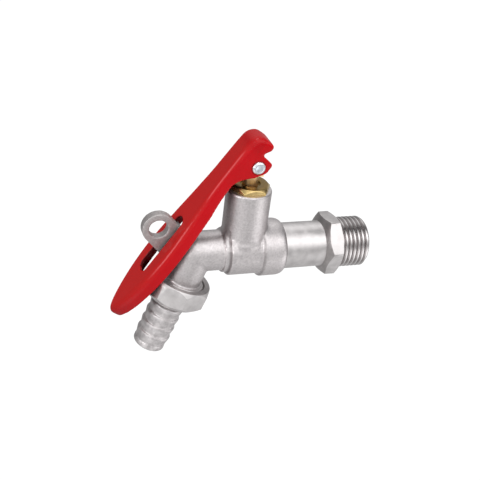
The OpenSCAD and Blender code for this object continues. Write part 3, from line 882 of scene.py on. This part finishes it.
def enamelFinish():
    look = redEnamel
    finish, shader = blankFinish("red_enamel_finish")
    shader.inputs["Specular IOR Level"].default_value = 0.0
    shader.inputs["Coat Weight"].default_value = look["coat"]
    shader.inputs["Coat Roughness"].default_value = look["coatRough"]
    colour = twoTone(finish, grain(finish, look["cloudScale"]), look["deep"], look["bright"])
    # painted sheen on the web
    colour = mixed(finish, marked(finish, "web"), colour, look["paintedSheen"])
    # painted highlight along the bends
    colour = mixed(finish, marked(finish, "bendHighlight"), colour, look["bendHighlight"])
    # painted shade in the hollow, round the rivet and on the head
    colour = darkened(finish, colour, marked(finish, "inside"), look["inside"])
    roughness = span(finish, grain(finish, look["wearScale"]), look["smooth"], look["rough"])
    join(finish, colour, shader.inputs["Base Color"])
    join(finish, roughness, shader.inputs["Roughness"])
    bumps(finish, grain(finish, look["peelScale"], detail=2), look["peelDepth"], shader)
    return finish


def sealFinish(name, look):
    finish, shader = blankFinish(name)
    colour = twoTone(finish, grain(finish, sealGrain["cloudScale"]), look["dark"], look["light"])
    roughness = span(finish, grain(finish, sealGrain["wearScale"]), look["smooth"], look["rough"])
    join(finish, colour, shader.inputs["Base Color"])
    join(finish, roughness, shader.inputs["Roughness"])
    bumps(finish, grain(finish, sealGrain["grainScale"]), sealGrain["grainDepth"], shader)
    return finish


def setFinish(piece, finish):
    piece.data.materials.clear()
    piece.data.materials.append(finish)


# Camera, floor and light.
# Directions are in degrees, seen from the tap: elevation, and azimuth from the front towards the inlet.

def heading(elevation, azimuth):
    climb, turn = math.radians(elevation), math.radians(azimuth)
    return Vector((math.cos(climb) * math.sin(turn), -math.cos(climb) * math.cos(turn), math.sin(climb)))


cameraPlace = {
    "aim": (-41.195 * mm, 0, 3.889 * mm),
    "toward": (30.489, -21.389),
    "roll": math.radians(7.525),
    "distance": 325.1 * mm,
    "lens": 60.79,
    "sensor": 36,
    "clip": (0.01, 20),
}


def makeCamera():
    place = cameraPlace
    back = heading(*place["toward"])
    right = heading(0, place["toward"][1] + 90)
    up = back.cross(right)
    across = right * math.cos(place["roll"]) + up * math.sin(place["roll"])
    upward = up * math.cos(place["roll"]) - right * math.sin(place["roll"])
    bpy.ops.object.camera_add()
    camera = bpy.context.object
    camera.data.sensor_width = place["sensor"]
    camera.data.lens = place["lens"]
    camera.data.clip_start, camera.data.clip_end = place["clip"]
    turn = Matrix((across, upward, back)).transposed().to_4x4()
    camera.matrix_world = Matrix.Translation(Vector(place["aim"]) + back * place["distance"]) @ turn
    bpy.context.scene.camera = camera


studio = {
    "floorZ": -0.24,
    "floorSize": 8.0,
    "floorColour": 0.12,  # how much lamp light the floor gives back
    "floorGlow": 0.95,  # what the camera and reflections see besides
    "ambient": 0.875,
}


def seenDirectly(tree):
    # 1 for what the camera sees, by itself or in metal and glass, and 0 for light on the tap
    path = tree.nodes.new("ShaderNodeLightPath")
    total = path.outputs["Is Camera Ray"]
    for ray in ("Is Glossy Ray", "Is Transmission Ray"):
        larger = tree.nodes.new("ShaderNodeMath")
        larger.operation = "MAXIMUM"
        tree.links.new(total, larger.inputs[0])
        tree.links.new(path.outputs[ray], larger.inputs[1])
        total = larger.outputs[0]
    return total


def makeWorld():
    world = bpy.data.worlds.new("studio")
    bpy.context.scene.world = world
    world.use_nodes = True
    tree = world.node_tree
    tree.nodes.clear()
    output = tree.nodes.new("ShaderNodeOutputWorld")
    mix = tree.nodes.new("ShaderNodeMixShader")
    tree.links.new(seenDirectly(tree), mix.inputs["Fac"])
    for slot, strength in ((1, studio["ambient"]), (2, 1.0)):
        glow = tree.nodes.new("ShaderNodeBackground")
        glow.inputs["Color"].default_value = (1, 1, 1, 1)
        glow.inputs["Strength"].default_value = strength
        tree.links.new(glow.outputs[0], mix.inputs[slot])
    tree.links.new(mix.outputs[0], output.inputs["Surface"])


def makeFloor():
    bpy.ops.object.select_all(action="DESELECT")
    bpy.ops.mesh.primitive_plane_add(size=studio["floorSize"], location=(0, 0, studio["floorZ"]))
    floor = bpy.context.object
    floor.name = "floor"
    finish = bpy.data.materials.new("white_floor")
    finish.use_nodes = True
    tree = finish.node_tree
    tree.nodes.clear()
    output = tree.nodes.new("ShaderNodeOutputMaterial")
    cloth = tree.nodes.new("ShaderNodeBsdfDiffuse")
    cloth.inputs["Color"].default_value = (*[studio["floorColour"]] * 3, 1)
    glow = tree.nodes.new("ShaderNodeEmission")
    strength = tree.nodes.new("ShaderNodeMath")
    strength.operation = "MULTIPLY"
    strength.inputs[1].default_value = studio["floorGlow"]
    both = tree.nodes.new("ShaderNodeAddShader")
    tree.links.new(seenDirectly(tree), strength.inputs[0])
    tree.links.new(strength.outputs[0], glow.inputs["Strength"])
    tree.links.new(cloth.outputs[0], both.inputs[0])
    tree.links.new(glow.outputs[0], both.inputs[1])
    tree.links.new(both.outputs[0], output.inputs["Surface"])
    setFinish(floor, finish)


# The one lamp that lights the surfaces
lamps = {
    "fill": {"toward": (6, 12), "away": 0.90, "wide": 0.50, "high": 0.50, "power": 3.1},
}

# A tent round the tap that only its reflections show; glow 1 is white.
# Each spot is a soft panel or a dark flag: elevation, azimuth, spread in degrees, glow that it adds
lightTent = {
    "radius": 0.225,
    "plain": 0.66,
    "spots": {
        "panelOver": (46, 12, 30, 1.49),
        "panelRight": (31, 58, 14, 1.53),
        "panelLeft": (17, -61, 20, 0.35),
        "panelLow": (-23, 51, 19, 1.27),
        "panelUnder": (-41, -46, 19, 0.73),
        "panelRear": (66, 159, 35, 1.04),
        "flagRight": (64, 88, 18, -1.24),
        "flagSide": (21, 85, 24, -0.74),
        "flagFront": (5, 29, 14, -0.61),
        "flagRear": (15, -148, 80, -0.43),
    },
}

# Bright strips inside the tent, for the lines along the enamel's edges
strips = {
    "left": {"toward": (15, -60), "away": 0.20, "wide": 0.11, "high": 0.075, "glow": 4.2},
    "top": {"toward": (85, -20), "away": 0.20, "wide": 0.035, "high": 0.035, "glow": 7.0},
}


def faceTap(thing, toward, away):
    aim = Vector(cameraPlace["aim"])
    thing.location = aim + heading(*toward) * away
    thing.rotation_euler = (aim - thing.location).to_track_quat("-Z", "Y").to_euler()


def makeLamps():
    for name, lamp in lamps.items():
        bpy.ops.object.light_add(type="AREA")
        light = bpy.context.object
        light.name = name
        light.data.shape = "RECTANGLE"
        light.data.size = lamp["wide"]
        light.data.size_y = lamp["high"]
        light.data.energy = lamp["power"]
        light.visible_glossy = False
        faceTap(light, lamp["toward"], lamp["away"])


def onlyReflected(sheet, glow):
    # the glow is a number, or the name of the attribute that holds it
    for kind in ("camera", "diffuse", "shadow", "transmission", "volume_scatter"):
        setattr(sheet, "visible_" + kind, False)
    finish = bpy.data.materials.new(sheet.name)
    finish.use_nodes = True
    tree = finish.node_tree
    tree.nodes.clear()
    output = tree.nodes.new("ShaderNodeOutputMaterial")
    paint = tree.nodes.new("ShaderNodeEmission")
    paint.inputs["Color"].default_value = (1, 1, 1, 1)
    if isinstance(glow, str):
        level = tree.nodes.new("ShaderNodeAttribute")
        level.attribute_name = glow
        tree.links.new(level.outputs["Fac"], paint.inputs["Strength"])
    else:
        paint.inputs["Strength"].default_value = glow
    tree.links.new(paint.outputs[0], output.inputs["Surface"])
    setFinish(sheet, finish)


def makeTent():
    size = lightTent
    bpy.ops.object.select_all(action="DESELECT")
    bpy.ops.mesh.primitive_uv_sphere_add(segments=roundSteps, ring_count=roundSteps // 2,
                                         radius=size["radius"], location=cameraPlace["aim"])
    tent = bpy.context.object
    tent.name = "light_tent"
    glow = tent.data.attributes.new("glow", "FLOAT", "POINT")
    for point in tent.data.vertices:
        level = size["plain"]
        for elevation, azimuth, spread, added in size["spots"].values():
            away = math.degrees(point.co.angle(heading(elevation, azimuth)))
            level += added * math.exp(-(away / spread) ** 2)
        glow.data[point.index].value = max(0, level)
    onlyReflected(tent, "glow")


def makeStrips():
    for name, strip in strips.items():
        bpy.ops.object.select_all(action="DESELECT")
        bpy.ops.mesh.primitive_plane_add(size=1)
        sheet = bpy.context.object
        sheet.name = "strip_" + name
        sheet.scale = (strip["wide"], strip["high"], 1)
        faceTap(sheet, strip["toward"], strip["away"])
        onlyReflected(sheet, strip["glow"])


# The tap

makeCamera()
print("camera placed")

castFinish = metalFinish("blasted_nickel", blastedNickel)
turnedFinish = metalFinish("turned_nickel", turnedNickel)
nutFinish = metalFinish("nut_nickel", nutNickel)
tailFinish = metalFinish("tail_nickel", tailNickel)
brassFinish = metalFinish("turned_brass", turnedBrass)
stemFinish = metalFinish("stem_brass_painted_light", litStemBrass)
zincFinish = metalFinish("zinc_plate", zincPlate)
ballFinish = metalFinish("plated_ball", platedBall)
enamel = enamelFinish()
whiteSeal = sealFinish("white_seal_finish", whiteSealLook)
blackSeal = sealFinish("black_seal_finish", blackSealLook)
print("finishes made")

setFinish(makeCastBody(), castFinish)
setFinish(makeOutletThread(), turnedFinish)
print("cast body made")
setFinish(makeInletConnector(), turnedFinish)
print("inlet connector made")
setFinish(makeLever(), enamel)
print("lever made")
pieceFinish = {
    "union_nut": nutFinish, "hose_tail": tailFinish, "gland_nut": brassFinish, "stem": stemFinish,
    "pivot_rivet": zincFinish,
}
for node, piece in makeTurnedPieces().items():
    setFinish(piece, pieceFinish[node])
print("turned pieces made")

innerFinish = {
    "ball": ballFinish, "gland_follower": brassFinish,
    "inlet_seat": whiteSeal, "outlet_seat": whiteSeal, "thrust_washer": whiteSeal,
    "packing_lower": whiteSeal, "packing_upper": whiteSeal,
    "body_seal": blackSeal, "tail_washer": blackSeal,
}
for node, finish in innerFinish.items():
    setFinish(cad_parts[node], finish)
print("inner pieces finished")

makeWorld()
makeFloor()
makeLamps()
makeTent()
makeStrips()
bpy.context.scene.view_settings.view_transform = "Standard"
print("studio lit")
